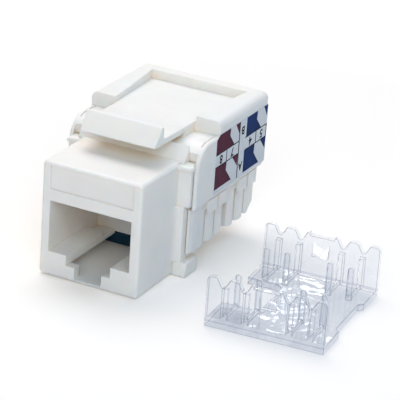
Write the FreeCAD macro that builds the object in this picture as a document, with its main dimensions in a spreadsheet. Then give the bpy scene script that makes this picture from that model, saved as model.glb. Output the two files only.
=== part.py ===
import FreeCAD, Part
import os
import Sketcher

# Keystone jack with punch-down towers, and the clear cap that has been taken off it.
# Millimetres. +Z is up, the plug port faces -Y, and +X is right as seen from the port.
# The origin is the middle of the front block's underside.

doc = FreeCAD.newDocument("keystone_jack")
sheet = doc.addObject("Spreadsheet::Sheet", "dims")
TINY = 1e-4
# Largest rounding of both edges of a narrow bar, as a share of its width
NEARLY_HALF = 0.45


class Size:
    """A length that carries its number and the sheet formula it comes from."""

    def __init__(self, number, formula):
        self.number = number
        self.formula = formula

    def combine(self, sign, other, number):
        return Size(number, f"({self.formula} {sign} {other.formula})")

    def __add__(self, other):
        other = as_size(other)
        return self.combine("+", other, self.number + other.number)

    def __sub__(self, other):
        other = as_size(other)
        return self.combine("-", other, self.number - other.number)

    def __mul__(self, other):
        other = as_size(other)
        return self.combine("*", other, self.number * other.number)

    def __truediv__(self, other):
        other = as_size(other)
        return self.combine("/", other, self.number / other.number)

    def __neg__(self):
        return Size(-self.number, f"(-1 * {self.formula})")


def as_size(amount):
    return amount if isinstance(amount, Size) else Size(float(amount), str(float(amount)))


rows = []


def size(name, number, note):
    """Write one driving dimension into the sheet and hand it back."""
    rows.append(name)
    row = len(rows)
    sheet.set(f"A{row}", name)
    sheet.set(f"B{row}", str(number))
    sheet.set(f"C{row}", note)
    sheet.setAlias(f"B{row}", name)
    return Size(number, f"dims.{name}")


# Shared gap between pieces that slide into one another
fit = size("fit", 0.1, "clearance between fitted pieces")

# Front block and plug port
block_width = size("block_width", 14.5, "front block, side to side")
block_height = size("block_height", 15.8, "front block, underside to top")
block_depth = size("block_depth", 9.6, "front block, front face to shoulder")
block_round = size("block_round", 0.45, "rounding of the block's outer edges")
side_wall = size("side_wall", 1.3, "wall beside the plug port")
front_wall = size("front_wall", 1.4, "wall that the plug port is cut through")
floor_wall = size("floor_wall", 0.45, "floor under the plug's latch channel")
port_height = size("port_height", 7.05, "plug port, shelves to ceiling")
port_depth = size("port_depth", 13.0, "front face to the port's back wall")
port_back_wall = size("port_back_wall", 0.5, "back wall of the port")
shelf_level = size("shelf_level", 3.45, "top of the two shelves that carry the plug")
well_level = size("well_level", 2.5, "top of the shelves at the port's back wall")
well_length = size("well_length", 3.5, "length of that lower stretch")
key_width = size("key_width", 6.5, "upper step of the latch keyway")
key_level = size("key_level", 1.97, "underside of the shelves, and upper step of the keyway")
tab_width = size("tab_width", 4.0, "lower step of the latch keyway")
undercut_width = size("undercut_width", 10.4, "latch channel under the shelves")
window_height = size("window_height", 1.8, "window low in the port's back wall")
badge_margin = size("badge_margin", 1.2, "block's side to the shallow blank field")
badge_height = size("badge_height", 3.2, "height of the blank field")
badge_drop = size("badge_drop", 0.5, "block's top to the blank field")
badge_depth = size("badge_depth", 0.2, "depth of the blank field")

# Shoulder, lugs and columns behind the front block
shoulder_step = size("shoulder_step", 1.15, "shoulder, out from the block's side")
cove_round = size("cove_round", 0.8, "hollow round between block and shoulder")
lug_reach = size("lug_reach", 2.05, "panel lug, out from the block's side")
lug_height = size("lug_height", 2.0, "panel lug, height")
lug_length = size("lug_length", 3.4, "panel lug, front to back")
lug_round = size("lug_round", 0.25, "rounding of lugs and ledges")
column_set = size("column_set", 0.1, "columns, back from the shoulder's front")
column_depth = size("column_depth", 0.65, "side columns, front to back")
column_rise = size("column_rise", 0.5, "cover's lower edge to the columns' underside")
ledge_drop = size("ledge_drop", 0.3, "block's top to the columns' top")
ledge_height = size("ledge_height", 0.6, "thick lip at the top of a column")
ledge_reach = size("ledge_reach", 0.35, "lip, out from the column")
ramp_length = size("ramp_length", 1.2, "slope from the block's top up to the deck")
ramp_reach = size("ramp_reach", 0.6, "that slope, out from the block's side")

# Rear cover
cover_wall = size("cover_wall", 0.54, "side and back walls of the cover")
cover_round = size("cover_round", 0.3, "rounding of the cover's outer edges")
cover_overhang = size("cover_overhang", 1.75, "towers' back to the cover's back")
skirt_rise = size("skirt_rise", 0.9, "cable channel's roof to the side walls' lower edge")
skirt_corner = size("skirt_corner", 1.0, "rounded lower back corner of the side walls")
deck_rise = size("deck_rise", 1.95, "block's top to the deck beside the latch")
deck_wall = size("deck_wall", 0.75, "thickness of the deck")
wall_rise = size("wall_rise", 0.06, "side walls, above the deck")
wall_corner = size("wall_corner", 3.4, "rounded upper front corner of the side walls")
sill_set = size("sill_set", 0.95, "side walls' front to the wall under the deck's edge")
sill_depth = size("sill_depth", 1.2, "thickness of the wall under the deck's edge")
frame_set = size("frame_set", 5.0, "wall under the deck's edge to the frame's arms")
seam_width = size("seam_width", 0.15, "groove between the deck and a side wall")
seam_depth = size("seam_depth", 0.35, "depth of that groove")
frame_rise = size("frame_rise", 2.03, "raised frame, above the deck")
frame_round = size("frame_round", 0.9, "rounding of the frame's long outer edges")
frame_back = size("frame_back", 1.95, "back bar of the frame")
recess_back_width = size("recess_back_width", 14.4, "sunk field at the back bar")
recess_front_width = size("recess_front_width", 12.0, "sunk field between the arms' front ends")
recess_rise = size("recess_rise", 0.75, "sunk field's floor at the back bar, above the deck")

# Latch tongue
latch_rise = size("latch_rise", 1.35, "flat top of the tongue, above the deck")
latch_wall = size("latch_wall", 0.85, "thickness of the tongue")
latch_set = size("latch_set", 1.8, "wall under the deck's edge to the tongue's bend line")
latch_length = size("latch_length", 7.2, "tongue, bend line to tip")
latch_root_width = size("latch_root_width", 11.7, "tongue at the bend line")
latch_tip_width = size("latch_tip_width", 10.9, "tongue at its tip")
latch_nose = size("latch_nose", 0.15, "blunt lower edge of the tip")
catch_length = size("catch_length", 1.9, "slope from the tip up to the catch's crest")
crest_rise = size("crest_rise", 1.6, "catch, above the tongue")
crest_flat = size("crest_flat", 0.3, "crest, front to back")
catch_slope = size("catch_slope", 0.2, "lean of the catch's back face")
bend_gap = size("bend_gap", 0.05, "cut at a bend line")

# Punch-down block
channel_roof = size("channel_roof", 2.1, "port's ceiling to the cable channel's roof")
tower_height = size("tower_height", 5.5, "towers, below the cable channel's roof")
tower_chamfer = size("tower_chamfer", 1.5, "slanted lower back corner of the last towers")
wing_wall = size("wing_wall", 0.6, "towers' wing beside the shoulder")
wing_set = size("wing_set", 1.1, "shoulder's front to the wings")
wing_clear = size("wing_clear", 0.9, "panel lugs to the wings over them")
row_lead = size("row_lead", 0.75, "row's front end to its first slot")
row_trail = size("row_trail", 1.95, "last slot to the row's back end")
row_inside = size("row_inside", 1.7, "terminals' middle to the row's inner face")
pair_spacing = size("pair_spacing", 8.75, "middle of one wire pair to the next")
wire_pitch = size("wire_pitch", 2.85, "between the two wires of a pair")
slot_width = size("slot_width", 1.0, "wire slot")
slot_roof = size("slot_roof", 0.4, "cable channel's roof to the slots' upper end")
slot_flare = size("slot_flare", 0.15, "lead-in at the mouth of a wire slot")
group_gap = size("group_gap", 2.0, "gap between the two pairs of towers")
tooth_length = size("tooth_length", 2.4, "proud pad at the top of a tower")
tooth_drop = size("tooth_drop", 1.1, "cable channel's roof to the pads' underside")
tooth_reach = size("tooth_reach", 0.4, "pad, out from the tower")
pleat_length = size("pleat_length", 0.7, "slanted front part of a tower's outer face")
pleat_depth = size("pleat_depth", 0.3, "depth of that slant at the tower's front edge")
tray_wall = size("tray_wall", 1.0, "floor and walls around the hollow under the board")
base_back = size("base_back", 0.15, "cover's back wall to the block's base")

# Terminals in the towers
blade_cover = size("blade_cover", 2.2, "towers' outer face to the terminals' middle")
blade_width = size("blade_width", 1.7, "terminal, front to back")
blade_wall = size("blade_wall", 0.3, "thickness of a terminal")
fork_set = size("fork_set", 0.7, "towers' tips to the terminals' tips")
fork_reach = size("fork_reach", 3.8, "length of a terminal's fork")
fork_cut = size("fork_cut", 0.3, "width of the fork's cut")
fork_mouth = size("fork_mouth", 0.9, "width of the fork's mouth")
fork_mouth_depth = size("fork_mouth_depth", 0.6, "height of the fork's mouth")
pin_width = size("pin_width", 0.5, "terminal's pin through the board")

# Circuit board
board_rest = size("board_rest", 0.25, "contact carrier's roof to the board's underside")
board_wall = size("board_wall", 1.0, "thickness of the circuit board")
board_edge = size("board_edge", 0.5, "cover's side wall to the board")
board_set = size("board_set", 0.5, "port's back wall to the board's front edge")
board_back = size("board_back", 0.6, "cover's back wall to the board")
pin_hole = size("pin_hole", 0.4, "radius of a hole for a pin")
pin_stand = size("pin_stand", 0.6, "pin, above the board")

# Contact carrier and its eight contacts
carrier_ledge = size("carrier_ledge", 0.15, "carrier, past the port's side")
carrier_front = size("carrier_front", 2.4, "front face to the carrier")
carrier_wall = size("carrier_wall", 1.75, "thickness of the carrier over the port")
seat_depth = size("seat_depth", 5.2, "carrier, behind the port's back wall")
plate_wall = size("plate_wall", 1.3, "thickness of the carrier's plate behind the port")
contact_pitch = size("contact_pitch", 1.02, "between neighbouring contacts")
contact_width = size("contact_width", 0.45, "contact, side to side")
contact_wall = size("contact_wall", 0.3, "thickness of a contact")
contact_bend = size("contact_bend", 0.12, "inner radius of a contact's bends")
groove_depth = size("groove_depth", 0.6, "depth of the groove that a contact lies in")
tail_set = size("tail_set", 2.4, "port's back wall to the nearer row of contact pins")
tail_stagger = size("tail_stagger", 1.7, "between the two rows of contact pins")
nose_set = size("nose_set", 0.2, "carrier's front to the contacts' front bend")
nose_drop = size("nose_drop", 0.5, "front bend, below the contact's run")
leg_clear = size("leg_clear", 1.8, "end of a sprung leg to the port's back wall")
leg_drop = size("leg_drop", 2.2, "sprung leg, from its bend down to its end")

# Printed label on the right side wall
label_set = size("label_set", 4.95, "side wall's front edge to the label")
label_back = size("label_back", 0.1, "label to the back of the cover")
label_rise = size("label_rise", 0.55, "side wall's lower edge to the label")
label_drop = size("label_drop", 1.68, "raised frame's top to the label")
label_clip_run = size("label_clip_run", 1.0, "clipped upper front corner, along the label")
label_clip_rise = size("label_clip_rise", 0.6, "clipped upper front corner, up the label")
label_wall = size("label_wall", 0.06, "thickness of the label")

# Clear cap, lying beside the jack with its open side up
cap_end = size("cap_end", 1.7, "last notch to the end of the cap's wall")
cap_height = size("cap_height", 6.9, "cap, base to wall tops")
cap_base = size("cap_base", 1.0, "thickness of the base")
cap_wall = size("cap_wall", 0.8, "thickness of the walls")
notch_depth = size("notch_depth", 1.2, "wire notch in a wall's edge")
notch_floor = size("notch_floor", 0.4, "notch at its bottom")
notch_mouth = size("notch_mouth", 1.7, "notch at its mouth")
notch_round = size("notch_round", 0.25, "rounding of the notches")
corner_round = size("corner_round", 0.6, "rounded upper ends of the walls")
dip_land = size("dip_land", 0.4, "notch to the lower stretch in the middle of the edge")
dip_depth = size("dip_depth", 0.35, "depth of that stretch")
rib_gap = size("rib_gap", 0.15, "pusher rib to the side of its wire slot")
rib_reach = size("rib_reach", 0.7, "rib, in from the wall")
rib_top = size("rib_top", 5.2, "top of the ribs")
post_gap = size("post_gap", 0.2, "post to the side of the cable channel")
post_width = size("post_width", 0.8, "post facing a rib, along the wall")
post_wall = size("post_wall", 0.5, "post, across the cap")
post_top = size("post_top", 5.5, "top of the posts")
tie_width = size("tie_width", 0.4, "low tie between post and rib")
tie_height = size("tie_height", 0.5, "tie, above the base")
entry_width = size("entry_width", 8.6, "cut in the base where the cable enters")
entry_depth = size("entry_depth", 5.2, "depth of that cut")
entry_round = size("entry_round", 1.6, "rounded corners of that cut")
waist_width = size("waist_width", 8.0, "shallow waist in the opposite edge")
waist_depth = size("waist_depth", 0.6, "depth of the waist")
snap_width = size("snap_width", 2.2, "snap wedge on a wall, along it")
snap_reach = size("snap_reach", 0.5, "snap wedge, in from the wall")
snap_rise = size("snap_rise", 2.8, "base to the underside of the snap wedge")
snap_height = size("snap_height", 1.8, "height of the snap wedge")
cap_right = size("cap_right", 25.05, "jack's middle plane to the cap's middle")
cap_behind = size("cap_behind", 9.05, "jack's front face to the cap's middle")
cap_turn = size("cap_turn", 3.9, "degrees the cap is turned on the table")

# Half widths, out from the jack's middle plane
block_half = block_width / 2
port_half = block_half - side_wall
carrier_half = port_half + carrier_ledge
shoulder_half = block_half + shoulder_step
tower_half = shoulder_half + fit + wing_wall
blade_place = tower_half - blade_cover
channel_half = blade_place - row_inside
cover_half = tower_half + cover_wall
cap_half = tower_half + fit + cap_wall

# Levels, up from the block's underside
port_ceiling = shelf_level + port_height
carrier_top = port_ceiling + carrier_wall
contact_level = port_ceiling + groove_depth - contact_wall
board_level = carrier_top + board_rest
pin_tip = board_level + board_wall + pin_stand
tower_root = port_ceiling - channel_roof
tower_tip = tower_root - tower_height
skirt_bottom = tower_root + skirt_rise
column_bottom = skirt_bottom + column_rise
ledge_level = block_height - ledge_drop
deck_level = block_height + deck_rise
wall_top = deck_level + wall_rise
frame_top = deck_level + frame_rise
latch_level = deck_level + latch_rise
latch_under = latch_level - latch_wall

# Depths, back from the jack's front face
housing_back = port_depth + port_back_wall
insert_front = housing_back + fit
column_front = block_depth + column_set
column_back = column_front + column_depth
skirt_front = column_back + fit
sill_front = skirt_front + sill_set
latch_root = sill_front + latch_set
latch_tip = latch_root - latch_length
frame_front = sill_front + frame_set
row_half = (pair_spacing + wire_pitch + slot_width) / 2
idc_middle = insert_front + row_lead + row_half
tower_back = idc_middle + row_half + row_trail
cover_back = tower_back + cover_overhang
cavity_back = cover_back - cover_wall
nose_front = carrier_front + nose_set


def behind(depth):
    """The Y of a plane at this depth behind the jack's front face."""
    return depth - block_depth / 2


front = behind(Size(0.0, "0.0"))


def slot_places():
    """Where the four wire slots lie along a row, from its middle."""
    for pair in (-1, 1):
        for wire in (-1, 1):
            yield pair_spacing / 2 * pair + wire_pitch / 2 * wire


def contact_x(number):
    return contact_pitch * (number - 4.5)


def tail_y(number):
    """Contact pins stand in two staggered rows."""
    return behind(housing_back + tail_set + tail_stagger * (number % 2))


def bind(thing, field, amount):
    thing.setExpression(field, as_size(amount).formula)


def new_body(label):
    body = doc.addObject("PartDesign::Body", label)
    body.Label = label
    return body


def box_loop(left, low, right, high):
    return [(left, low), (right, low), (right, high), (left, high)]


def add_polygon(sketch, corners):
    """Add a closed polygon with every corner tied to its formulas."""
    points = [FreeCAD.Vector(as_size(u).number, as_size(v).number, 0) for u, v in corners]
    first = sketch.GeometryCount
    count = len(points)
    for i in range(count):
        sketch.addGeometry(Part.LineSegment(points[i], points[(i + 1) % count]), False)
    for i in range(count):
        follower = first + (i + 1) % count
        sketch.addConstraint(Sketcher.Constraint("Coincident", first + i, 2, follower, 1))
    for i, corner in enumerate(corners):
        for kind, amount, now in zip(("DistanceX", "DistanceY"), corner, points[i]):
            place = sketch.addConstraint(Sketcher.Constraint(kind, -1, 1, first + i, 1, now))
            bind(sketch, f"Constraints[{place}]", amount)


def add_circle(sketch, u, v, radius):
    """Add a circle with its centre and radius tied to their formulas."""
    centre = FreeCAD.Vector(as_size(u).number, as_size(v).number, 0)
    ring = sketch.addGeometry(Part.Circle(centre, FreeCAD.Vector(0, 0, 1), radius.number), False)
    for kind, amount, now in zip(("DistanceX", "DistanceY"), (u, v), centre):
        place = sketch.addConstraint(Sketcher.Constraint(kind, -1, 1, ring, 3, now))
        bind(sketch, f"Constraints[{place}]", amount)
    place = sketch.addConstraint(Sketcher.Constraint("Radius", ring, radius.number))
    bind(sketch, f"Constraints[{place}]", radius)


def draw(body, name, plane, loops, level):
    """Sketch closed loops on one of the body's origin planes, shifted to a level."""
    sketch = body.newObject("Sketcher::SketchObject", name)
    support = [item for item in body.Origin.OriginFeatures if item.Role == f"{plane}_Plane"]
    sketch.AttachmentSupport = [(support[0], "")]
    sketch.MapMode = "FlatFace"
    bind(sketch, "AttachmentOffset.Base.z", -level if plane == "XZ" else level)
    for loop in loops:
        if len(loop) == 3 and isinstance(loop[2], Size):
            add_circle(sketch, *loop)
        else:
            add_polygon(sketch, loop)
    return sketch


def extrude(body, kind, name, plane, loops, start, end):
    """Pad or pocket loops from one level up to a higher one, and check that it took."""
    before = body.Shape.Volume if body.Tip else 0.0
    start = as_size(start)
    feature_sketch = draw(body, f"{name}_outline", plane, loops, start)
    feature = body.newObject(f"PartDesign::{kind}", name)
    feature.Profile = feature_sketch
    bind(feature, "Length", as_size(end) - start)
    against_normal = plane == "XZ"
    feature.Reversed = against_normal if kind == "Pad" else not against_normal
    doc.recompute()
    change = body.Shape.Volume - before
    if (change <= TINY) if kind == "Pad" else (change >= -TINY):
        raise RuntimeError(f"{body.Label}: {name} changed the volume by {change:.4f}")


def boss(body, name, plane, loops, start, end):
    extrude(body, "Pad", name, plane, loops, start, end)


def cut(body, name, plane, loops, start, end):
    extrude(body, "Pocket", name, plane, loops, start, end)


def straight_edges(direction, **where):
    """Pick straight edges along one axis whose middles lie at the places given."""
    def wanted(edge):
        box = edge.BoundBox
        spans = {"x": box.XLength, "y": box.YLength, "z": box.ZLength}
        middle = dict(zip("xyz", box.Center))
        flat = all((spans[axis] > TINY) == (axis == direction) for axis in "xyz")
        return flat and all(
            any(abs(middle[axis] - as_size(place).number) < TINY for place in places)
            for axis, places in where.items()
        )
    return wanted


def blend(body, kind, name, amount, *choices):
    """Fillet or chamfer the chosen edges of the body so far."""
    base = body.Tip
    names = [
        f"Edge{number}"
        for number, edge in enumerate(base.Shape.Edges, 1)
        if any(wanted(edge) for wanted in choices)
    ]
    if not names:
        raise RuntimeError(f"{body.Label}: {name} found no edges")
    feature = body.newObject(f"PartDesign::{kind}", name)
    feature.Base = (base, names)
    bind(feature, "Radius" if kind == "Fillet" else "Size", amount)
    doc.recompute()
    if not (feature.isValid() and feature.Shape.isValid()):
        raise RuntimeError(f"{body.Label}: {name} could not be made")


def both(amount):
    return [-amount, amount]


def front_housing():
    """Front block with the plug port, shoulder, panel lugs and side columns."""
    body = new_body("front_housing")
    block_back, back = behind(block_depth), behind(housing_back)
    block = box_loop(-block_half, 0, block_half, block_height)
    boss(body, "block", "XZ", [block], front, block_back)
    blend(
        body, "Fillet", "block_edges", block_round,
        straight_edges("x", y=[front]), straight_edges("z", y=[front]),
        straight_edges("y", x=both(block_half)),
    )
    shoulder = box_loop(-shoulder_half, 0, shoulder_half, column_bottom)
    boss(body, "shoulder", "XZ", [shoulder], block_back, back)
    reach = block_half + lug_reach
    lugs = box_loop(-reach, 0, reach, lug_height)
    boss(body, "lugs", "XZ", [lugs], block_back, block_back + lug_length)
    strips, rounds = [], []
    for side in (-1, 1):
        cove_x, cove_y = (block_half + cove_round) * side, block_back - cove_round
        strips.append(box_loop(block_half * side, cove_y, cove_x, block_back))
        rounds.append((cove_x, cove_y, cove_round))
    boss(body, "coves", "XY", strips, lug_height, column_bottom)
    cut(body, "cove_rounds", "XY", rounds, lug_height, column_bottom)
    blend(
        body, "Fillet", "lug_edges", lug_round,
        straight_edges("y", x=both(reach)), straight_edges("z", x=both(reach)),
    )
    neck = box_loop(-block_half, column_bottom, block_half, block_height)
    boss(body, "neck", "XZ", [neck], block_back, back)
    inner = tower_half - fit
    upper = box_loop(-inner, column_bottom, inner, ledge_level)
    boss(body, "upper_shoulder", "XZ", [upper], behind(column_front), back)
    columns = box_loop(-tower_half, column_bottom, tower_half, ledge_level)
    boss(body, "columns", "XZ", [columns], behind(column_front), behind(column_back))
    lip = tower_half + ledge_reach / 2
    lip_front = behind(column_front - ledge_reach)
    lips = box_loop(-lip, ledge_level - ledge_height, lip, ledge_level)
    boss(body, "ledges", "XZ", [lips], lip_front, behind(column_back))
    blend(
        body, "Fillet", "ledge_edges", lug_round,
        straight_edges("y", x=both(lip), z=[ledge_level]),
        straight_edges("z", x=both(lip), y=[lip_front]),
        straight_edges("x", y=[lip_front], z=[ledge_level]),
    )
    ramp_half, ramp_back = block_half + ramp_reach, behind(sill_front - fit)
    ramp = [
        (ramp_back - ramp_length, ledge_level), (ramp_back, ledge_level), (ramp_back, deck_level),
        (ramp_back - ramp_length, block_height),
    ]
    boss(body, "ramp", "YZ", [ramp], -ramp_half, ramp_half)

    key, tab, under = key_width / 2, tab_width / 2, undercut_width / 2
    chamber_front, chamber_back = behind(front_wall), behind(port_depth)
    cut(body, "port_mouth", "XZ", [stepped_outline(key, tab)], front, chamber_front)
    cut(body, "port_chamber", "XZ", [stepped_outline(key, under)], chamber_front, chamber_back)
    well = box_loop(-port_half, well_level, port_half, shelf_level)
    cut(body, "port_well", "XZ", [well], behind(port_depth - well_length), chamber_back)
    window = box_loop(-under, floor_wall, under, floor_wall + window_height)
    cut(body, "port_window", "XZ", [window], chamber_back, back)
    bay = carrier_half + fit
    bay_loop = box_loop(-bay, port_ceiling, bay, carrier_top + fit)
    cut(body, "carrier_bay", "XZ", [bay_loop], behind(carrier_front - fit), back)
    badge = block_half - badge_margin
    badge_top = block_height - badge_drop
    field = box_loop(-badge, badge_top - badge_height, badge, badge_top)
    cut(body, "blank_field", "XZ", [field], front, behind(badge_depth))
    return body


def stepped_outline(middle, bottom):
    """Port's outline: full width over the shelves, then two steps down to the floor."""
    return [
        (-port_half, port_ceiling), (port_half, port_ceiling), (port_half, shelf_level),
        (middle, shelf_level), (middle, key_level), (bottom, key_level), (bottom, floor_wall),
        (-bottom, floor_wall), (-bottom, key_level), (-middle, key_level), (-middle, shelf_level),
        (-port_half, shelf_level),
    ]


def rear_cover():
    """Rear cover: side and back walls, deck, raised frame and the latch's root."""
    body = new_body("rear_cover")
    lead, tail = behind(skirt_front), behind(cover_back)
    arms = behind(frame_front)
    shell = box_loop(-cover_half, skirt_bottom, cover_half, frame_top)
    boss(body, "shell", "XZ", [shell], lead, tail)
    blend(
        body, "Fillet", "skirt_corners", skirt_corner,
        straight_edges("x", y=[tail], z=[skirt_bottom]),
    )
    step = box_loop(-cover_half, wall_top, cover_half, frame_top)
    cut(body, "front_step", "XZ", [step], lead, arms)
    blend(
        body, "Fillet", "wall_corners", wall_corner,
        straight_edges("x", y=[lead], z=[wall_top]),
    )
    blend(
        body, "Fillet", "frame_sides", frame_round,
        straight_edges("y", x=both(cover_half), z=[frame_top]),
    )
    blend(
        body, "Fillet", "cover_edges", cover_round,
        straight_edges("y", x=both(cover_half), z=[wall_top]),
        straight_edges("x", y=[tail], z=[frame_top]),
        straight_edges("z", x=both(cover_half), y=[tail, lead]),
    )
    inner = tower_half
    cut(body, "deck", "XZ", [box_loop(-inner, deck_level, inner, wall_top)], lead, arms)
    sill, sill_back = behind(sill_front), behind(sill_front + sill_depth)
    cut(body, "front_mouth", "XZ", [box_loop(-inner, skirt_bottom, inner, deck_level)], lead, sill)
    neck = block_half + fit
    neck_clear, ledge_clear = block_height + fit, ledge_level + fit
    under_sill = [
        (-inner, skirt_bottom), (inner, skirt_bottom), (inner, ledge_clear), (neck, ledge_clear),
        (neck, neck_clear), (-neck, neck_clear), (-neck, ledge_clear), (-inner, ledge_clear),
    ]
    cut(body, "under_sill", "XZ", [under_sill], sill, sill_back)
    cavity = box_loop(-inner, skirt_bottom, inner, deck_level - deck_wall)
    cut(body, "cavity", "XZ", [cavity], sill_back, behind(cavity_back))
    seams = [
        box_loop(inner * side, deck_level - seam_depth, (inner - seam_width) * side, deck_level)
        for side in (-1, 1)
    ]
    cut(body, "seams", "XZ", seams, sill, arms)

    back_bar = behind(cover_back - frame_back)
    wide, narrow = recess_back_width / 2, recess_front_width / 2
    field_low = deck_level + recess_rise
    field = [(-narrow, arms), (narrow, arms), (wide, back_bar), (-wide, back_bar)]
    cut(body, "sunk_field", "XY", [field], field_low, frame_top)
    slope = [(arms, field_low), (back_bar, field_low), (arms, latch_level)]
    boss(body, "sloped_floor", "YZ", [slope], -wide, wide)
    root = latch_root_width / 2
    root_loop = box_loop(behind(latch_root + bend_gap), deck_level, arms, latch_level)
    boss(body, "latch_root", "YZ", [root_loop], -root, root)
    core_front, core_back = arms + deck_wall, behind(cavity_back)
    core_top = field_low - deck_wall
    core = box_loop(-inner, deck_level - deck_wall, inner, core_top)
    cut(body, "field_core", "XZ", [core], core_front, core_back)
    arm_cores = []
    for side in (-1, 1):
        outer = inner * side
        arm_cores.append([
            ((narrow + deck_wall) * side, core_front), (outer, core_front), (outer, core_back),
            ((wide + deck_wall) * side, core_back),
        ])
    cut(body, "arm_cores", "XY", arm_cores, core_top, frame_top - deck_wall)
    return body


def keystone_latch():
    """Sprung tongue with the catch ridge, forward of its bend line."""
    body = new_body("keystone_latch")
    root, tip = behind(latch_root), behind(latch_tip)
    crest_front = tip + catch_length
    crest_back = crest_front + crest_flat
    crest = latch_level + crest_rise
    profile = [
        (root, latch_under), (root, latch_level), (crest_back + catch_slope, latch_level),
        (crest_back, crest), (crest_front, crest), (tip, latch_under + latch_nose),
        (tip + latch_nose, latch_under),
    ]
    wide, narrow = latch_root_width / 2, latch_tip_width / 2
    boss(body, "tongue", "YZ", [profile], -wide, wide)
    flanks = [[(wide * side, tip), (wide * side, root), (narrow * side, tip)] for side in (-1, 1)]
    cut(body, "flanks", "XY", flanks, latch_under, crest)
    return body


def idc_block():
    """Punch-down block: base, two rows of slotted towers and a seat for the carrier."""
    body = new_body("idc_block")
    base_half = tower_half - fit
    row_front, row_end = behind(insert_front), behind(tower_back)
    base = box_loop(-base_half, row_front, base_half, behind(cavity_back - base_back))
    boss(body, "base", "XY", [base], tower_root, board_level)
    row_plan, wing_plan = [], []
    for side in (-1, 1):
        outer = tower_half * side
        row_plan.append(box_loop(outer, row_front, channel_half * side, row_end))
        beside = (shoulder_half + fit) * side
        wing_plan.append(box_loop(outer, behind(block_depth + wing_set), beside, row_front))
    boss(body, "rows", "XY", row_plan, tower_tip, tower_root)
    wing_top = skirt_bottom - fit
    boss(body, "wings", "XY", wing_plan, lug_height + wing_clear, wing_top)

    middle = behind(idc_middle)
    teeth = []
    for side in (-1, 1):
        for place in slot_places():
            start = middle + place
            proud = (tower_half + tooth_reach) * side
            teeth.append(box_loop(proud, start, channel_half * side, start + tooth_length))
    boss(body, "teeth", "XY", teeth, tower_root - tooth_drop, wing_top)

    gap = box_loop(middle - group_gap / 2, tower_tip, middle + group_gap / 2, tower_root)
    cut(body, "group_gap", "YZ", [gap], -tower_half, tower_half)
    half_slot = slot_width / 2
    flare = half_slot + slot_flare
    slot_top = tower_root - slot_roof
    slots = []
    for place in slot_places():
        mid = middle + place
        slots.append([
            (mid - half_slot, slot_top), (mid - half_slot, tower_tip + slot_flare),
            (mid - flare, tower_tip), (mid + flare, tower_tip),
            (mid + half_slot, tower_tip + slot_flare), (mid + half_slot, slot_top),
        ])
    cut(body, "slots", "YZ", slots, -tower_half, tower_half)
    slot_pleats, open_pleats = [], []
    for side in (-1, 1):
        for place in slot_places():
            slot_pleats.append(pleat(side, middle + place + half_slot))
        for lead in (behind(block_depth + wing_set), middle + group_gap / 2):
            open_pleats.append(pleat(side, lead))
    cut(body, "slot_pleats", "XY", slot_pleats, tower_tip, tower_root - tooth_drop)
    cut(body, "open_pleats", "XY", open_pleats, tower_tip, wing_top)

    pocket_x = blade_wall / 2 + fit
    pocket_y = blade_width / 2 + fit
    pockets = []
    for side in (-1, 1):
        for place in slot_places():
            x, y = blade_place * side, middle + place
            pockets.append(box_loop(x - pocket_x, y - pocket_y, x + pocket_x, y + pocket_y))
    cut(body, "blade_pockets", "XY", pockets, tower_tip, board_level)

    bay = carrier_half + fit
    seat = box_loop(-bay, row_front, bay, behind(insert_front + seat_depth + fit))
    cut(body, "carrier_seat", "XY", [seat], port_ceiling, board_level)
    tray_half = blade_place - pocket_x - tray_wall
    tray_front = behind(insert_front + seat_depth + fit + tray_wall)
    tray_back = behind(cavity_back - base_back - tray_wall)
    tray = box_loop(-tray_half, tray_front, tray_half, tray_back)
    cut(body, "tray", "XY", [tray], tower_root + tray_wall, board_level)
    plate = box_loop(-channel_half, row_front, channel_half, row_front + plate_wall + fit)
    cut(body, "plate_notch", "XY", [plate], tower_root, port_ceiling)
    corner = [
        (row_end - tower_chamfer, tower_tip), (row_end, tower_tip),
        (row_end, tower_tip + tower_chamfer),
    ]
    cut(body, "back_corners", "YZ", [corner], -tower_half, tower_half)
    return body


def pleat(side, lead):
    """Plan of the slant on a tower's outer face, back from its front edge."""
    outer = tower_half * side
    return [(outer, lead), (outer, lead + pleat_length), (outer - pleat_depth * side, lead)]


def circuit_board():
    """Board that carries the contacts' and terminals' pins."""
    body = new_body("circuit_board")
    half = tower_half - board_edge
    tail = behind(cavity_back - board_back)
    plan = box_loop(-half, behind(housing_back + board_set), half, tail)
    boss(body, "board", "XY", [plan], board_level, board_level + board_wall)
    holes = []
    for side in (-1, 1):
        for place in slot_places():
            holes.append((blade_place * side, behind(idc_middle) + place, pin_hole))
    for number in range(1, 9):
        holes.append((contact_x(number), tail_y(number), pin_hole))
    cut(body, "pin_holes", "XY", holes, board_level, board_level + board_wall)
    return body


def contact_carrier():
    """Dark insert that holds the eight contacts over and behind the port."""
    body = new_body("contact_carrier")
    lead, step = behind(carrier_front), behind(insert_front)
    tail = behind(insert_front + seat_depth)
    low = port_ceiling + fit / 2
    roof = box_loop(-carrier_half, low, carrier_half, carrier_top)
    boss(body, "roof", "XZ", [roof], lead, step)
    seat = box_loop(-carrier_half, low, carrier_half, board_level)
    boss(body, "seat", "XZ", [seat], step, tail)
    plate_half = channel_half - fit
    plate = box_loop(-plate_half, floor_wall, plate_half, low)
    boss(body, "back_plate", "XZ", [plate], step, step + plate_wall)
    foot_half = undercut_width / 2 - fit
    foot = box_loop(-foot_half, floor_wall + fit, foot_half, floor_wall + window_height - fit)
    boss(body, "window_foot", "XZ", [foot], behind(port_depth), step)
    wide = contact_width / 2 + fit
    groove_top = port_ceiling + groove_depth
    grooves, shafts = [], []
    for number in range(1, 9):
        x, y = contact_x(number), tail_y(number)
        grooves.append(box_loop(x - wide, low, x + wide, groove_top))
        shafts.append(box_loop(x - wide, y - wide, x + wide, y + wide))
    cut(body, "grooves", "XZ", grooves, lead, tail)
    cut(body, "shafts", "XY", shafts, groove_top, board_level)
    return body


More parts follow.
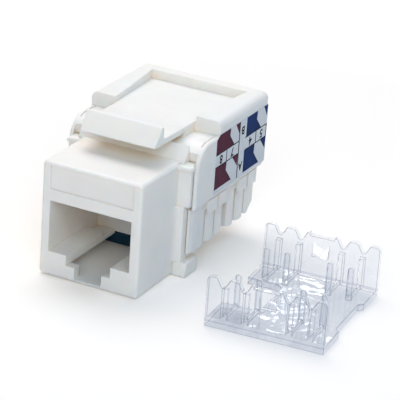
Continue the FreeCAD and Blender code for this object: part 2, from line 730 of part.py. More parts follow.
def contact_tail(number):
    """Fixed run of a contact: front bend, run in its groove, and pin up through the board."""
    body = new_body(f"contact_tail_{number}")
    low, high = contact_level, contact_level + contact_wall
    pin, half_pin = tail_y(number), contact_wall / 2
    nose = behind(nose_front)
    profile = [
        (nose, low - nose_drop), (nose, high), (pin - half_pin, high), (pin - half_pin, pin_tip),
        (pin + half_pin, pin_tip), (pin + half_pin, low), (nose + contact_wall, low),
        (nose + contact_wall, low - nose_drop),
    ]
    boss(body, "wire", "YZ", [profile], -contact_width / 2, contact_width / 2)
    blend(
        body, "Fillet", "inner_bends", contact_bend,
        straight_edges("x", y=[pin - half_pin], z=[high]),
        straight_edges("x", y=[nose + contact_wall], z=[low]),
    )
    blend(
        body, "Fillet", "outer_bends", contact_bend + contact_wall,
        straight_edges("x", y=[pin + half_pin], z=[low]),
        straight_edges("x", y=[nose], z=[high]),
    )
    bind(body, "Placement.Base.x", contact_x(number))
    return body


def contact_spring(number):
    """Sprung leg of a contact, slanting down and back into the port."""
    body = new_body(f"contact_spring_{number}")
    lead, end = behind(nose_front), behind(port_depth - leg_clear)
    top = contact_level - nose_drop - bend_gap
    profile = [
        (lead, top), (lead, top - contact_wall), (end, top - contact_wall - leg_drop),
        (end, top - leg_drop), (lead + contact_wall, top),
    ]
    boss(body, "leg", "YZ", [profile], -contact_width / 2, contact_width / 2)
    bind(body, "Placement.Base.x", contact_x(number))
    return body


def idc_terminal(number, side, place):
    """Forked blade that cuts into a wire, with its pin up through the board."""
    body = new_body(f"idc_terminal_{number}")
    half, pin, slit, mouth = blade_width / 2, pin_width / 2, fork_cut / 2, fork_mouth / 2
    fork_tip = tower_tip + fork_set
    throat, fork_root = fork_tip + fork_mouth_depth, fork_tip + fork_reach
    profile = [
        (mouth, fork_tip), (half, fork_tip), (half, board_level), (pin, board_level),
        (pin, pin_tip), (-pin, pin_tip), (-pin, board_level), (-half, board_level),
        (-half, fork_tip), (-mouth, fork_tip), (-slit, throat), (-slit, fork_root),
        (slit, fork_root), (slit, throat),
    ]
    boss(body, "blade", "YZ", [profile], -blade_wall / 2, blade_wall / 2)
    bind(body, "Placement.Base.x", blade_place * side)
    bind(body, "Placement.Base.y", behind(idc_middle) + place)
    return body


def wiring_label():
    """Thin printed label on the right side wall."""
    body = new_body("wiring_label")
    lead, tail = behind(skirt_front + label_set), behind(cover_back - label_back)
    low, high = skirt_bottom + label_rise, frame_top - label_drop
    outline = [
        (lead, low), (tail, low), (tail, high), (lead + label_clip_run, high),
        (lead, high - label_clip_rise),
    ]
    boss(body, "sheet", "YZ", [outline], cover_half, cover_half + label_wall)
    return body


def cap_wall_outline(end):
    """Wall of the cap with its four wire notches and the lower middle stretch."""
    foot, mouth = notch_floor / 2, notch_mouth / 2
    deep = cap_height - notch_depth
    dip = (pair_spacing - wire_pitch) / 2 - mouth - dip_land
    low = cap_height - dip_depth
    edge = []
    for step, place in enumerate(slot_places()):
        if step == 2:
            edge += [(-dip, cap_height), (-dip, low), (dip, low), (dip, cap_height)]
        edge += [
            (place - mouth, cap_height), (place - foot, deep),
            (place + foot, deep), (place + mouth, cap_height),
        ]
    return [(end, 0), (-end, 0), (-end, cap_height)] + edge + [(end, cap_height)]


def dust_cap():
    """Clear cap: base, two notched walls, pusher ribs, posts and snap wedges."""
    body = new_body("dust_cap")
    end = row_half + cap_end
    entry, entry_end = entry_width / 2, entry_depth - end
    waist, waist_end = waist_width / 2, end - waist_depth
    plan = [
        (-end, -cap_half), (end, -cap_half), (end, -waist - waist_depth), (waist_end, -waist),
        (waist_end, waist), (end, waist + waist_depth), (end, cap_half), (-end, cap_half),
        (-end, entry), (entry_end, entry), (entry_end, -entry), (-end, -entry),
    ]
    boss(body, "base", "XY", [plan], 0, cap_base)
    blend(
        body, "Fillet", "entry_corners", entry_round,
        straight_edges("z", x=[entry_end], y=both(entry)),
    )
    wall_face = cap_half - cap_wall
    outline = cap_wall_outline(end)
    boss(body, "near_wall", "XZ", [outline], -cap_half, -wall_face)
    boss(body, "far_wall", "XZ", [outline], wall_face, cap_half)
    rounded = []
    for place in slot_places():
        for reach in (notch_floor / 2, notch_mouth / 2):
            rounded += [place - reach, place + reach]
    blend(body, "Fillet", "notch_edges", notch_round, straight_edges("y", x=rounded))
    blend(
        body, "Fillet", "wall_ends", corner_round,
        straight_edges("y", x=both(end), z=[cap_height]),
    )

    rib, post, tie = slot_width / 2 - rib_gap, post_width / 2, tie_width / 2
    post_face = channel_half - post_gap
    ribs, posts, ties = [], [], []
    for row in (-1, 1):
        for place in slot_places():
            rib_face = (wall_face - rib_reach) * row
            ribs.append(box_loop(place - rib, wall_face * row, place + rib, rib_face))
            post_back = (post_face - post_wall) * row
            posts.append(box_loop(place - post, post_face * row, place + post, post_back))
            ties.append(box_loop(place - tie, rib_face, place + tie, post_face * row))
    boss(body, "ribs", "XY", ribs, 0, rib_top)
    boss(body, "posts", "XY", posts, 0, post_top)
    crown = [place + post * hand for place in slot_places() for hand in (-1, 1)]
    blend(
        body, "Fillet", "post_crowns", post_width * NEARLY_HALF,
        straight_edges("y", x=crown, z=[post_top]),
    )
    boss(body, "ties", "XY", ties, 0, cap_base + tie_height)
    snap_bottom = cap_base + snap_rise
    for row, name in ((-1, "near_snap"), (1, "far_snap")):
        face = wall_face * row
        wedge = [
            (face, snap_bottom), ((wall_face - snap_reach) * row, snap_bottom),
            (face, snap_bottom + snap_height),
        ]
        boss(body, name, "YZ", [wedge], -snap_width / 2, snap_width / 2)
    bind(body, "Placement.Base.x", cap_right)
    bind(body, "Placement.Base.y", behind(cap_behind))
    bind(body, "Placement.Rotation.Angle", cap_turn)
    return body


def build():
    sub_parts = [
        front_housing(), rear_cover(), keystone_latch(), idc_block(), circuit_board(),
        contact_carrier(), wiring_label(), dust_cap(),
    ]
    for number in range(1, 9):
        sub_parts.append(contact_tail(number))
        sub_parts.append(contact_spring(number))
    number = 0
    for side in (-1, 1):
        for place in slot_places():
            number += 1
            sub_parts.append(idc_terminal(number, side, place))
    return sub_parts


def check(sub_parts):
    """Stop if any object failed or any sub-part is not a sound solid."""
    doc.recompute()
    for item in doc.Objects:
        if "Invalid" in item.State or "Error" in item.State:
            raise RuntimeError(f"{item.Label} failed: {item.State}")
    for body in sub_parts:
        shape = body.Shape
        if shape.isNull() or not shape.isValid() or len(shape.Solids) != 1:
            raise RuntimeError(f"{body.Label} is not one sound solid")


sheet.recompute()
parts = build()
check(parts)
os.makedirs("parts", exist_ok=True)
for body in parts:
    body.Shape.exportStep(os.path.join("parts", f"{body.Label}.step"))
    box = body.Shape.BoundBox
    print(f"{body.Label:20s} {body.Shape.Volume:9.2f} mm3  z {box.ZMin:6.2f} to {box.ZMax:6.2f}")
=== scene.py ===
import math

import bmesh
import bpy
from mathutils import Matrix, Vector


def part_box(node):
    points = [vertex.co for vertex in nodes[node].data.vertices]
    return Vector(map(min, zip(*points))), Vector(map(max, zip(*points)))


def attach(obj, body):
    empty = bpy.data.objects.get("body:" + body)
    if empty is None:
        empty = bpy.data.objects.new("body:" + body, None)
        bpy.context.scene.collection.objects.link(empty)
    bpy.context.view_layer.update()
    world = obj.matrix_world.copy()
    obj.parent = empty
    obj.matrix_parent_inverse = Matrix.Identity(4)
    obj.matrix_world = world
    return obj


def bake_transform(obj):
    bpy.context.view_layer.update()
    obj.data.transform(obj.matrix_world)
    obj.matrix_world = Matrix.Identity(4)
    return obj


# Looks for the keystone jack and its clear cap. Sizes in this script are millimetres of the CAD frame.
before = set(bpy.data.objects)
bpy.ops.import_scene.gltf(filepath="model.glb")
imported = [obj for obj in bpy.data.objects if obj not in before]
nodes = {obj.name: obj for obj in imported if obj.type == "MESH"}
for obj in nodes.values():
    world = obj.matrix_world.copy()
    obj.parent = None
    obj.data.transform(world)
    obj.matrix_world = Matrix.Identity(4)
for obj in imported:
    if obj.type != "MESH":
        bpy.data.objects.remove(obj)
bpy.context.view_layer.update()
MM = 0.001
PURE_WHITE = (1.0, 1.0, 1.0)


# Shader nodes

# Noise seldom leaves this range, so colours and values are stretched over it.
NOISE_LOW = 0.3
NOISE_HIGH = 0.7
NOISE_ROUGHNESS = 0.55


def feed(tree, node, **values):
    """Give inputs of a node their values: numbers, colours or outputs of other nodes."""
    for name, value in values.items():
        socket = node.inputs[name.replace("_", " ")]
        if isinstance(value, bpy.types.NodeSocket):
            tree.links.new(value, socket)
        elif socket.type == "RGBA":
            socket.default_value = (*value, 1.0)
        else:
            socket.default_value = value


def add(tree, kind, **values):
    """A new shader node with some of its inputs set."""
    node = tree.nodes.new("ShaderNode" + kind)
    feed(tree, node, **values)
    return node


def combine(tree, operation, first, second):
    """Work out a value from an output and another output or number."""
    node = tree.nodes.new("ShaderNodeMath")
    node.operation = operation
    tree.links.new(first, node.inputs[0])
    if isinstance(second, bpy.types.NodeSocket):
        tree.links.new(second, node.inputs[1])
    else:
        node.inputs[1].default_value = second
    return node.outputs["Value"]


def noise(tree, coords, size, detail=3.0):
    """Noise whose features are about this many millimetres across."""
    scale = 1 / (size * MM)
    node = add(tree, "TexNoise", Vector=coords, Scale=scale, Detail=detail, Roughness=NOISE_ROUGHNESS)
    return node.outputs["Fac"]


def ramp(tree, factor, *stops):
    """Colour ramp with stops of place and colour."""
    node = add(tree, "ValToRGB", Fac=factor)
    elements = node.color_ramp.elements
    while len(elements) < len(stops):
        elements.new(0.5)
    for element, (place, colour) in zip(elements, stops):
        element.position = place
        element.color = (*colour, 1.0)
    return node.outputs["Color"]


def cloudy(tree, factor, dark, light):
    """A colour that wanders between two others with noise."""
    return ramp(tree, factor, (NOISE_LOW, dark), (NOISE_HIGH, light))


def remap(tree, factor, low, high, least=NOISE_LOW, most=NOISE_HIGH):
    """Stretch a factor, such as noise, to a range of values."""
    node = add(tree, "MapRange", Value=factor, From_Min=least, From_Max=most, To_Min=low, To_Max=high)
    return node.outputs["Result"]


def mix(tree, factor, base, colour, blend="MIX"):
    """Blend a colour over another where the factor is high."""
    node = tree.nodes.new("ShaderNodeMix")
    node.data_type = "RGBA"
    node.blend_type = blend
    feed(tree, node, Factor=factor, A=base, B=colour)
    return node.outputs["Result"]


def shade(colour, share):
    """A share of a colour's brightness."""
    return [channel * share for channel in colour]


def bump(tree, relief, distance):
    """Bump whose full height is this many millimetres."""
    return add(tree, "Bump", Height=relief, Distance=distance * MM, Strength=1.0).outputs["Normal"]


def height(tree, coords):
    """Height in the CAD frame, in metres."""
    return add(tree, "SeparateXYZ", Vector=coords).outputs["Z"]


def specks(tree, coords, spacing, radius, share):
    """1 inside a few small round specks, 0 elsewhere."""
    cells = add(tree, "TexVoronoi", Vector=coords, Scale=1 / (spacing * MM))
    near = combine(tree, "LESS_THAN", cells.outputs["Distance"], radius / spacing)
    split = add(tree, "SeparateColor", Color=cells.outputs["Color"])
    chosen = combine(tree, "LESS_THAN", split.outputs["Red"], share)
    return combine(tree, "MULTIPLY", near, chosen)


def rays(tree, *kinds):
    """1 for rays of any of these kinds, 0 for others."""
    path = tree.nodes.new("ShaderNodeLightPath")
    found = path.outputs[kinds[0]]
    for kind in kinds[1:]:
        found = combine(tree, "MAXIMUM", found, path.outputs[kind])
    return found


def seen(tree):
    """1 for rays that show a surface to the camera, straight, in a reflection or through the clear cap."""
    return rays(tree, "Is Camera Ray", "Is Glossy Ray", "Is Transmission Ray")


# Materials

def new_material(name):
    """A material with its node tree, its Principled shader and object coordinates."""
    material = bpy.data.materials.new(name)
    material.use_nodes = True
    tree = material.node_tree
    shader = tree.nodes["Principled BSDF"]
    coords = tree.nodes.new("ShaderNodeTexCoord")
    return material, tree, shader, coords.outputs["Object"]


def moulded_plastic(name, dark, light, gloss, edge):
    """Moulded plastic: cloudy colour, dust specks, spark-eroded grain, uneven gloss and softened edges."""
    cloud_size = 3.5
    speck_spacing, speck_radius, speck_share, speck_shade = 2.6, 0.055, 0.06, 0.35
    grain_size, grain_detail, grain_height = 0.16, 4.0, 0.004
    gloss_size = 1.1
    edge_samples = 6
    material, tree, shader, coords = new_material(name)
    colour = cloudy(tree, noise(tree, coords, cloud_size), dark, light)
    dust = specks(tree, coords, speck_spacing, speck_radius, speck_share)
    colour = mix(tree, dust, colour, shade(light, speck_shade))
    surface = bump(tree, noise(tree, coords, grain_size, grain_detail), grain_height)
    if edge > 0:
        worn = add(tree, "Bevel", Radius=edge * MM)
        worn.samples = edge_samples
        feed(tree, surface.node, Normal=worn.outputs["Normal"])
    roughness = remap(tree, noise(tree, coords, gloss_size), *gloss)
    feed(tree, shader, Base_Color=colour, Roughness=roughness, Normal=surface, IOR=1.5)
    return material, tree, shader, coords, colour


def white_plastic(name, depth, edge):
    """White plastic with painted warm shade in crevices above the floor. A thin skin has no depth for light
    and no edges.
    """
    dark, light, gloss = (0.893, 0.868, 0.822), (0.92, 0.896, 0.852), (0.36, 0.5)
    painted_shade_warmth = (1.0, 0.88, 0.72)
    sky_reach, sky_samples = 4.0, 8
    closed_sky, open_sky = 0.1, 0.5
    floor_zone, free_zone = 0.4 * MM, 1.6 * MM
    material, tree, shader, coords, colour = moulded_plastic(name, dark, light, gloss, edge)
    # Painted shade: where nearby surfaces hide the sky, the colour is made darker and warmer, as bounce
    # light in the plastic would make it.
    sky = add(tree, "AmbientOcclusion", Distance=sky_reach * MM)
    sky.samples = sky_samples
    painted_shade_mask = remap(tree, sky.outputs["AO"], 1.0, 0.0, closed_sky, open_sky)
    raised = remap(tree, height(tree, coords), 0.0, 1.0, floor_zone, free_zone)
    painted_shade_colour = mix(tree, combine(tree, "MULTIPLY", painted_shade_mask, raised), colour, painted_shade_warmth, "MULTIPLY")
    feed(
        tree, shader, Base_Color=painted_shade_colour, Subsurface_Weight=depth, Subsurface_Scale=1.2 * MM,
        Subsurface_Radius=(1.0, 0.75, 0.55))
    return material


def navy_plastic(name, edge):
    """Dark navy plastic with little shine."""
    dark, light, gloss = (0.003, 0.025, 0.052), (0.006, 0.037, 0.074), (0.34, 0.5)
    material, tree, shader, *_ = moulded_plastic(name, dark, light, gloss, edge)
    feed(tree, shader, Specular_IOR_Level=0.2)
    return material


def metal(name, dark, light, gloss, stretch):
    """Rolled sheet metal: stains in colour, and drawn-out streaks in gloss and height."""
    streak_size, streak_detail, streak_height = 0.12, 5.0, 0.003
    stain_size = 0.9
    material, tree, shader, coords = new_material(name)
    drawn = add(tree, "Mapping", Vector=coords, Scale=stretch)
    streaks = noise(tree, drawn.outputs["Vector"], streak_size, streak_detail)
    colour = cloudy(tree, noise(tree, coords, stain_size), dark, light)
    roughness = remap(tree, streaks, *gloss)
    relief = bump(tree, streaks, streak_height)
    feed(tree, shader, Base_Color=colour, Roughness=roughness, Normal=relief, Metallic=1.0)
    return material


def board_laminate(name):
    """Green solder mask over a woven glass laminate."""
    dark, light, gloss = (0.006, 0.07, 0.03), (0.012, 0.115, 0.05), (0.25, 0.4)
    weave_size, weave_distortion, weave_height = 0.9, 1.5, 0.006
    patch_size = 1.4
    material, tree, shader, coords = new_material(name)
    weave = add(tree, "TexWave", Vector=coords, Scale=1 / (weave_size * MM), Distortion=weave_distortion)
    patches = noise(tree, coords, patch_size)
    colour = cloudy(tree, patches, dark, light)
    roughness = remap(tree, patches, *gloss)
    relief = bump(tree, weave.outputs["Fac"], weave_height)
    feed(tree, shader, Base_Color=colour, Roughness=roughness, Normal=relief)
    return material


def film(name, dark, light):
    """Printed film: half-tone mottle and a soft satin wave."""
    dot_size, dot_detail, dot_share, dot_shade = 0.09, 2.0, 0.12, 0.6
    wash_size, wash_height = 2.2, 0.01
    gloss = (0.34, 0.46)
    material, tree, shader, coords = new_material(name)
    dots = noise(tree, coords, dot_size, dot_detail)
    wash = noise(tree, coords, wash_size)
    mottle = remap(tree, dots, 0.0, dot_share)
    colour = mix(tree, mottle, cloudy(tree, wash, dark, light), shade(light, dot_shade))
    roughness = remap(tree, dots, *gloss)
    relief = bump(tree, wash, wash_height)
    feed(tree, shader, Base_Color=colour, Roughness=roughness, Normal=relief, Specular_IOR_Level=0.02)
    return material


def painted_rim_shade_lines(tree, coords, colour):
    """Paint a fine shade line round the foot of the cap, where it meets the floor, and another just under
    the top of its base, where the base's edge would show through the wall.
    """
    base_height = 1.0
    plain, shade_line = PURE_WHITE, (0.55, 0.6, 0.72)
    level = remap(tree, height(tree, coords), 0.0, 1.0, 0.0, base_height * MM)
    # Places are shares of the base's height.
    foot = (0.02, plain), (0.08, shade_line), (0.2, plain)
    rim = (0.72, plain), (0.8, shade_line), (0.9, shade_line), (0.95, plain)
    return mix(tree, 1.0, colour, ramp(tree, level, *foot, *rim), "MULTIPLY")


def clear_plastic(name, dark, light):
    """Clear plastic with faint flow lines and a wavy gloss. Lamp light passes it with a pale shadow."""
    passed = (0.775, 0.805, 0.85)
    flow_size, flow_detail, flow_height = 1.6, 2.0, 0.02
    wave_size, wave_detail, wave_height = 3.2, 1.0, 0.12
    gloss_size, gloss = 0.4, (0.02, 0.07)
    material, tree, shader, coords = new_material(name)
    flow = noise(tree, coords, flow_size, flow_detail)
    # The colour carries painted shade lines round the foot and the rim of the base.
    colour = painted_rim_shade_lines(tree, coords, cloudy(tree, flow, dark, light))
    roughness = remap(tree, noise(tree, coords, gloss_size), *gloss)
    relief = bump(tree, flow, flow_height)
    waves = bump(tree, noise(tree, coords, wave_size, wave_detail), wave_height)
    # The body bends light little, so the thick base doesn't go dark. The coat gives the full reflection.
    feed(tree, shader, Base_Color=colour, Roughness=roughness, Normal=relief)
    feed(tree, shader, Transmission_Weight=1.0, IOR=1.04)
    feed(tree, shader, Coat_Weight=1.0, Coat_Roughness=0.04, Coat_IOR=1.58, Coat_Normal=waves)
    passing = add(tree, "BsdfTransparent", Color=passed)
    either = add(tree, "MixShader", Fac=rays(tree, "Is Shadow Ray", "Is Diffuse Ray"))
    tree.links.new(shader.outputs["BSDF"], either.inputs[1])
    tree.links.new(passing.outputs["BSDF"], either.inputs[2])
    feed(tree, tree.nodes["Material Output"], Surface=either.outputs["Shader"])
    return material


# Radius of the edges that are softened in shading
SOFT_EDGE = 0.14
# Streaks run along the contacts' Y and Z, and up the terminals.
ALONG_CONTACT = (1.0, 0.12, 0.12)
ALONG_TERMINAL = (1.0, 1.0, 0.12)

WHITE = white_plastic("white_abs", depth=0.5, edge=SOFT_EDGE)
WHITE_SKIN = white_plastic("white_abs_skin", depth=0.0, edge=0.0)
NAVY = navy_plastic("navy_pbt", edge=SOFT_EDGE)
CLEAR = clear_plastic("clear_pc", (0.868, 0.89, 0.925), (0.90, 0.918, 0.945))
# A darker clear material for the cap's rounds: painted dark outlines in place of the refraction at its
# edges.
CLEAR_PAINTED_OUTLINE = clear_plastic("clear_pc_painted_outline", (0.30, 0.33, 0.40), (0.40, 0.43, 0.50))
GOLD = metal("gold_plate", (0.78, 0.53, 0.2), (0.88, 0.64, 0.28), (0.18, 0.32), ALONG_CONTACT)
TIN = metal("tin_plate", (0.55, 0.54, 0.52), (0.68, 0.67, 0.65), (0.28, 0.45), ALONG_TERMINAL)
BOARD = board_laminate("solder_mask")
FILM = film("label_film", (0.74, 0.77, 0.80), (0.79, 0.815, 0.84))
MAROON = film("print_maroon", (0.085, 0.018, 0.038), (0.112, 0.026, 0.052))
BLUE = film("print_blue", (0.002, 0.023, 0.112), (0.006, 0.036, 0.152))
INK = film("print_ink", (0.012, 0.012, 0.014), (0.022, 0.022, 0.025))

# The first start of a node's name that fits decides its finish.
FINISHES = (
    ("front_housing", WHITE), ("rear_cover", WHITE), ("keystone_latch", WHITE), ("idc_block", WHITE),
    ("contact_carrier", NAVY), ("contact_", GOLD), ("idc_terminal", TIN), ("circuit_board", BOARD),
    ("wiring_label", FILM), ("dust_cap", CLEAR),
)


def finish_for(name):
    """The material of a CAD node."""
    for start, material in FINISHES:
        if name.startswith(start):
            return material
    raise ValueError(f"no finish for {name}")


for name, node in nodes.items():
    for slot in node.material_slots:
        slot.material = finish_for(name)


# Edges

# Points nearer than this are one point.
SAME_POINT = 0.001
# Width of the real rounds, and the angles up to which faces are flat and from which edges are sharp
EDGE_ROUND = 0.1
FLAT_ANGLE = math.radians(0.5)
SHARP_ANGLE = math.radians(40)


def weld(piece, name):
    """Join points that coincide, which clears nearly all faces without area."""
    joined = piece.modifiers.new(name, "WELD")
    joined.merge_threshold = SAME_POINT * MM


def soften(piece, edge_slot=-1):
    """Break the sharp edges of a moulded piece, as a mould does. The rounds may take a slot of their own."""
    weld(piece, "weld")
    flat = piece.modifiers.new("flat_faces", "DECIMATE")
    flat.decimate_type = "DISSOLVE"
    flat.angle_limit = FLAT_ANGLE
    edges = piece.modifiers.new("edge_breaks", "BEVEL")
    edges.width = EDGE_ROUND * MM
    edges.segments = 2
    edges.limit_method = "ANGLE"
    edges.angle_limit = SHARP_ANGLE
    edges.harden_normals = True
    edges.material = edge_slot
    weld(piece, "clean")


# A round on the other white pieces would break at their fillets, so their material softens the edges.
weld(nodes["front_housing"], "clean")
soften(nodes["keystone_latch"])
# The cap's rounds take the darker clear material, a painted outline.
nodes["dust_cap"].data.materials.append(CLEAR_PAINTED_OUTLINE)
soften(nodes["dust_cap"], edge_slot=1)


# Added pieces

def finished_mesh(name, shape):
    """A mesh of the shape, with all its faces turned the same way."""
    bmesh.ops.recalc_face_normals(shape, faces=shape.faces)
    mesh = bpy.data.meshes.new(name)
    shape.to_mesh(mesh)
    shape.free()
    return mesh


def new_piece(name, mesh, material):
    """Put a mesh in the scene, with its material."""
    mesh.materials.append(material)
    piece = bpy.data.objects.new(name, mesh)
    bpy.context.scene.collection.objects.link(piece)
    return piece


def points(shape, places):
    """New points of a shape, at places in millimetres."""
    return [shape.verts.new([value * MM for value in place]) for place in places]


# Label print

LABEL_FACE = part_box("wiring_label")[1].x / MM
# The print stands this far out of the film, and reaches as far into it.
PRINT_PROUD = 0.006
LINE_WIDTH = 0.13
PIN_HEIGHT = 1.15
SCHEME_HEIGHT = 1.1
# A capital's height as a share of the font's size, and how much its strokes are thickened
CAPITAL_SHARE = 0.7
STROKE_GAIN = 0.05


def print_patch(shape, outline):
    """Add a thin printed patch, given as y and z, to the label's right face."""
    low, high = (
        points(shape, [(x, y, z) for y, z in outline])
        for x in (LABEL_FACE - PRINT_PROUD, LABEL_FACE + PRINT_PROUD)
    )
    shape.faces.new(low[::-1])
    shape.faces.new(high)
    for i in range(len(outline)):
        j = (i + 1) % len(outline)
        shape.faces.new((low[i], low[j], high[j], high[i]))


def print_piece(name, outlines, material):
    """One piece of all the patches in a colour."""
    shape = bmesh.new()
    for outline in outlines:
        print_patch(shape, outline)
    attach(new_piece(name, finished_mesh(name, shape), material), "root")


def bar(y0, z0, y1, z1):
    """An upright rectangle between two corners."""
    return [(y0, z0), (y1, z0), (y1, z1), (y0, z1)]


def stroke(start, end):
    """A straight printed line from one point of the label to another."""
    along = (Vector(end) - Vector(start)).normalized() * LINE_WIDTH / 2
    side = Vector((-along.y, along.x))
    return [tuple(Vector(point) + shift) for point, shift in (
        (start, side), (start, -side), (end, -side), (end, side))]


# Each colour has an upper and a lower flag, and each flag is followed by the small corner that goes with it.
MAROON_FLAGS = [
    [(10.65, 15.4), (15.8, 15.4), (14.4, 17.0), (14.5, 18.04), (11.55, 18.04), (10.65, 17.5)],
    [(16.1, 18.04), (17.2, 16.5), (17.3, 18.04)],
    [(10.65, 10.45), (15.5, 10.45), (13.75, 12.35), (13.85, 13.55), (10.65, 13.55)],
    [(15.6, 13.55), (17.1, 11.9), (17.25, 13.55)],
]
BLUE_FLAGS = [
    [(19.4, 15.3), (23.8, 15.3), (22.4, 16.8), (22.5, 18.04), (19.4, 18.04)],
    [(24.5, 18.04), (25.6, 16.4), (25.7, 18.04)],
    [(19.1, 10.2), (23.8, 10.2), (22.1, 12.1), (22.2, 13.4), (19.1, 13.4)],
    [(24.0, 13.4), (25.55, 11.7), (25.65, 13.4)],
]
INK_LINES = [
    bar(17.22, 10.05, 17.46, 18.04), bar(25.5, 13.4, 25.7, 15.3),
    bar(10.65, 15.27, 17.3, 15.42), bar(10.65, 13.53, 17.3, 13.68), bar(13.68, 13.65, 13.88, 15.3),
    bar(19.2, 15.16, 25.6, 15.31), bar(19.2, 13.38, 25.6, 13.53), bar(22.35, 13.5, 22.55, 15.2),
]
# A line follows the notched end of each flag.
for flag in MAROON_FLAGS[::2] + BLUE_FLAGS[::2]:
    INK_LINES += [stroke(flag[1], flag[2]), stroke(flag[2], flag[3])]
print_piece("print_maroon_flags", MAROON_FLAGS, MAROON)
print_piece("print_blue_flags", BLUE_FLAGS, BLUE)
print_piece("print_lines", INK_LINES, INK)


def print_mark(name, character, y, z, mark_height):
    """A pin number or scheme letter as a thin printed mesh, upside down on the label."""
    curve = bpy.data.curves.new(name, "FONT")
    curve.body = character
    curve.size = mark_height * MM / CAPITAL_SHARE
    curve.align_x = "CENTER"
    curve.align_y = "CENTER"
    curve.extrude = PRINT_PROUD * MM
    curve.offset = STROKE_GAIN * MM
    text = bpy.data.objects.new(name, curve)
    mesh = bpy.data.meshes.new_from_object(text)
    bpy.data.objects.remove(text)
    bpy.data.curves.remove(curve)
    # The text lies in XY, facing Z. Its X goes along the jack's Y, its Y up, and its Z out of the label.
    face = Matrix(((0, 0, 1, 0), (1, 0, 0, 0), (0, 1, 0, 0), (0, 0, 0, 1)))
    place = Matrix.Translation(Vector((LABEL_FACE, y, z)) * MM)
    mesh.transform(place @ face @ Matrix.Rotation(math.pi, 4, "Z"))
    mesh.name = name
    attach(new_piece(name, mesh, INK), "root")


for mark in (
    ("print_pin_8", "8", 12.2, 14.47, PIN_HEIGHT), ("print_pin_7", "7", 15.45, 14.47, PIN_HEIGHT),
    ("print_pin_4", "4", 20.8, 14.35, PIN_HEIGHT), ("print_pin_5", "5", 24.1, 14.35, PIN_HEIGHT),
    ("print_scheme_b", "B", 18.35, 16.6, SCHEME_HEIGHT), ("print_scheme_a", "A", 18.2, 11.5, SCHEME_HEIGHT),
):
    print_mark(*mark)


# Latch bend

def bend_band():
    """Skin over the bend line, where the model cuts one moulding into tongue and root."""
    root_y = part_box("keystone_latch")[1].y / MM
    # Half width, top and lower end of the skin, and the round along the tongue's top edges
    half, level, under, edge = 5.85, 19.1, 18.3, 0.1
    round_steps = 4
    # Rows on each side of the middle row, the pitch of the rows, and how far the middle lies behind the cut
    side_rows, pitch, behind = 6, 0.07, 0.025
    # The skin stands a hair proud over the bend and dips into the plastic at both ends.
    most_proud, fall = 0.012, 0.024
    wall = 0.008
    shape = bmesh.new()
    rows = []
    for row in range(-side_rows, side_rows + 1):
        proud = most_proud - fall * (row / side_rows) ** 4
        path = [(-half - proud, under)]
        for step in range(round_steps + 1):
            angle = math.pi - step * math.pi / 2 / round_steps
            x = -half + edge + (edge + proud) * math.cos(angle)
            path.append((x, level - edge + (edge + proud) * math.sin(angle)))
        path += [(-x, z) for x, z in reversed(path)]
        rows.append(points(shape, [(x, root_y + behind + pitch * row, z) for x, z in path]))
    for a, b in zip(rows, rows[1:]):
        for i in range(len(a) - 1):
            shape.faces.new((a[i], a[i + 1], b[i + 1], b[i]))
    mesh = finished_mesh("latch_bend_band", shape)
    mesh.shade_smooth()
    piece = new_piece("latch_bend_band", mesh, WHITE_SKIN)
    solid = piece.modifiers.new("wall", "SOLIDIFY")
    solid.thickness = wall * MM
    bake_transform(piece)


bend_band()


# Studio

def floor():
    """Pale floor, white far out. Its glow is seen, in reflections too, but it doesn't fill shadows."""
    half_side = 2.0
    drop = 0.12
    pale, near_glow = (0.872, 0.866, 0.866), (0.21, 0.187, 0.151)
    fade_start, fade_end = 90, 260
    material, tree, shader, coords = new_material("studio_floor")
    away = tree.nodes.new("ShaderNodeVectorMath")
    away.operation = "LENGTH"
    tree.links.new(coords, away.inputs[0])
    fade = remap(tree, away.outputs["Value"], 0.0, 1.0, fade_start * MM, fade_end * MM)
    glow = mix(tree, fade, near_glow, PURE_WHITE)
    feed(
        tree, shader, Base_Color=pale, Roughness=0.9, Specular_IOR_Level=0.1,
        Emission_Color=glow, Emission_Strength=seen(tree))
    shape = bmesh.new()
    bmesh.ops.create_grid(shape, x_segments=1, y_segments=1, size=half_side)
    mesh = bpy.data.meshes.new("studio_floor")
    shape.to_mesh(mesh)
    shape.free()
    mesh.materials.append(material)
    plane = bpy.data.objects.new("studio_floor", mesh)
    plane.location.z = -drop * MM
    bpy.context.scene.collection.objects.link(plane)


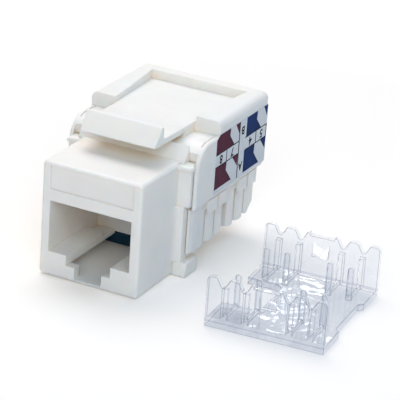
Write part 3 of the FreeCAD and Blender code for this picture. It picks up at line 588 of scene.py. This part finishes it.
def studio_world():
    """Cool even studio light, with a white background for the camera and for reflections."""
    cool = (0.12, 0.15, 0.18)
    world = bpy.data.worlds.new("studio")
    bpy.context.scene.world = world
    world.use_nodes = True
    tree = world.node_tree
    feed(tree, tree.nodes["Background"], Color=mix(tree, seen(tree), cool, PURE_WHITE), Strength=1.0)


LAMP_AIM = Vector((8, 9, 8)) * MM
# Name, place, width in millimetres, power in watts and colour
LAMPS = (
    ("key", (-110, 110, 320), 280, 0.785, (1.0, 0.92, 0.872)),
    ("side", (130, 70, 310), 280, 0.23, (0.58, 0.75, 0.98)),
    ("fill", (168, -249, 236), 260, 0.51, (0.84, 0.93, 1.0)),
    ("front", (70, -330, 140), 280, 0.17, (1.0, 0.93, 0.9)),
    ("glint", (-124, 353, 180), 14, 0.0028, PURE_WHITE),
    ("glint_low", (-53, -321, 42), 24, 0.009, PURE_WHITE),
)


def area_lamp(name, place, width, power, colour):
    """A round soft lamp that points at the object and isn't seen itself."""
    lamp = bpy.data.lights.new(name, "AREA")
    lamp.shape = "DISK"
    lamp.size = width * MM
    lamp.energy = power
    lamp.color = colour
    piece = bpy.data.objects.new(name, lamp)
    piece.location = Vector(place) * MM
    aim = LAMP_AIM - piece.location
    piece.rotation_euler = aim.to_track_quat("-Z", "Y").to_euler()
    piece.visible_camera = False
    bpy.context.scene.collection.objects.link(piece)


def camera():
    """Camera at the photo's angle, found by fitting edges of the jack."""
    place = Vector((129.064, -239.776, 126.384)) * MM
    across = Vector((0.88573, 0.45959, 0.06534))
    up = Vector((-0.23321, 0.31884, 0.91867))
    data = bpy.data.cameras.new("camera")
    data.lens = 207.0
    data.sensor_width = 36.0
    data.clip_start = 0.01
    piece = bpy.data.objects.new("camera", data)
    turn = Matrix((across, up, across.cross(up))).transposed().to_4x4()
    piece.matrix_world = Matrix.Translation(place) @ turn
    bpy.context.scene.collection.objects.link(piece)
    bpy.context.scene.camera = piece


floor()
studio_world()
for lamp in LAMPS:
    area_lamp(*lamp)
camera()
bpy.context.scene.view_settings.view_transform = "Standard"
